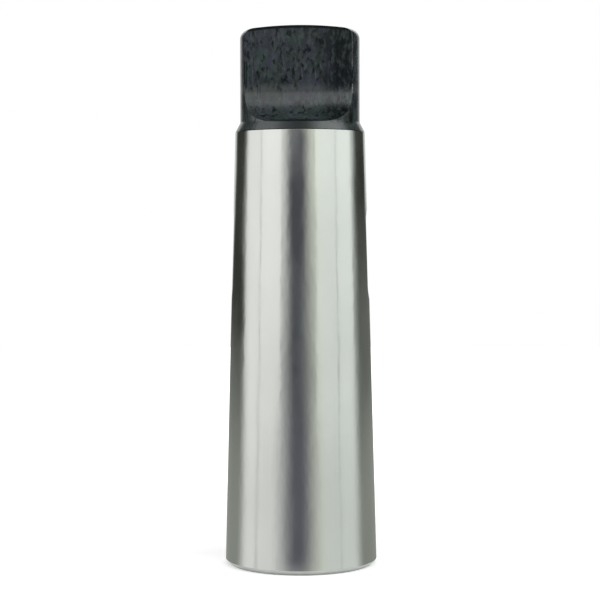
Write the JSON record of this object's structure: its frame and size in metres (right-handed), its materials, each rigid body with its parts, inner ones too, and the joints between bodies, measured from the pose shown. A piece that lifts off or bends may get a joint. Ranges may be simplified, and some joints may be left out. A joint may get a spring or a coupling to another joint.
{
  "type": "morse taper sleeve",
  "caption": "Ground steel taper sleeve with a dark tang at its small end, a tapered socket inside and a through drift slot.",
  "frame": {"origin": "centre of the large end face, where the mouth of the socket is; the sleeve stands on that face", "axes": "+Z along the axis from the large end face to the tip of the tang; the tang's flats face -Y and +Y; the drift slot runs through along X"},
  "size_m": [0.0448, 0.0448, 0.158],
  "materials": {
    "ground_steel": "fine ground taper, with a blackened tang and neck"
  },
  "bodies": {
    "root": {"sleeve": "ground_steel"}
  },
  "joints": []
}
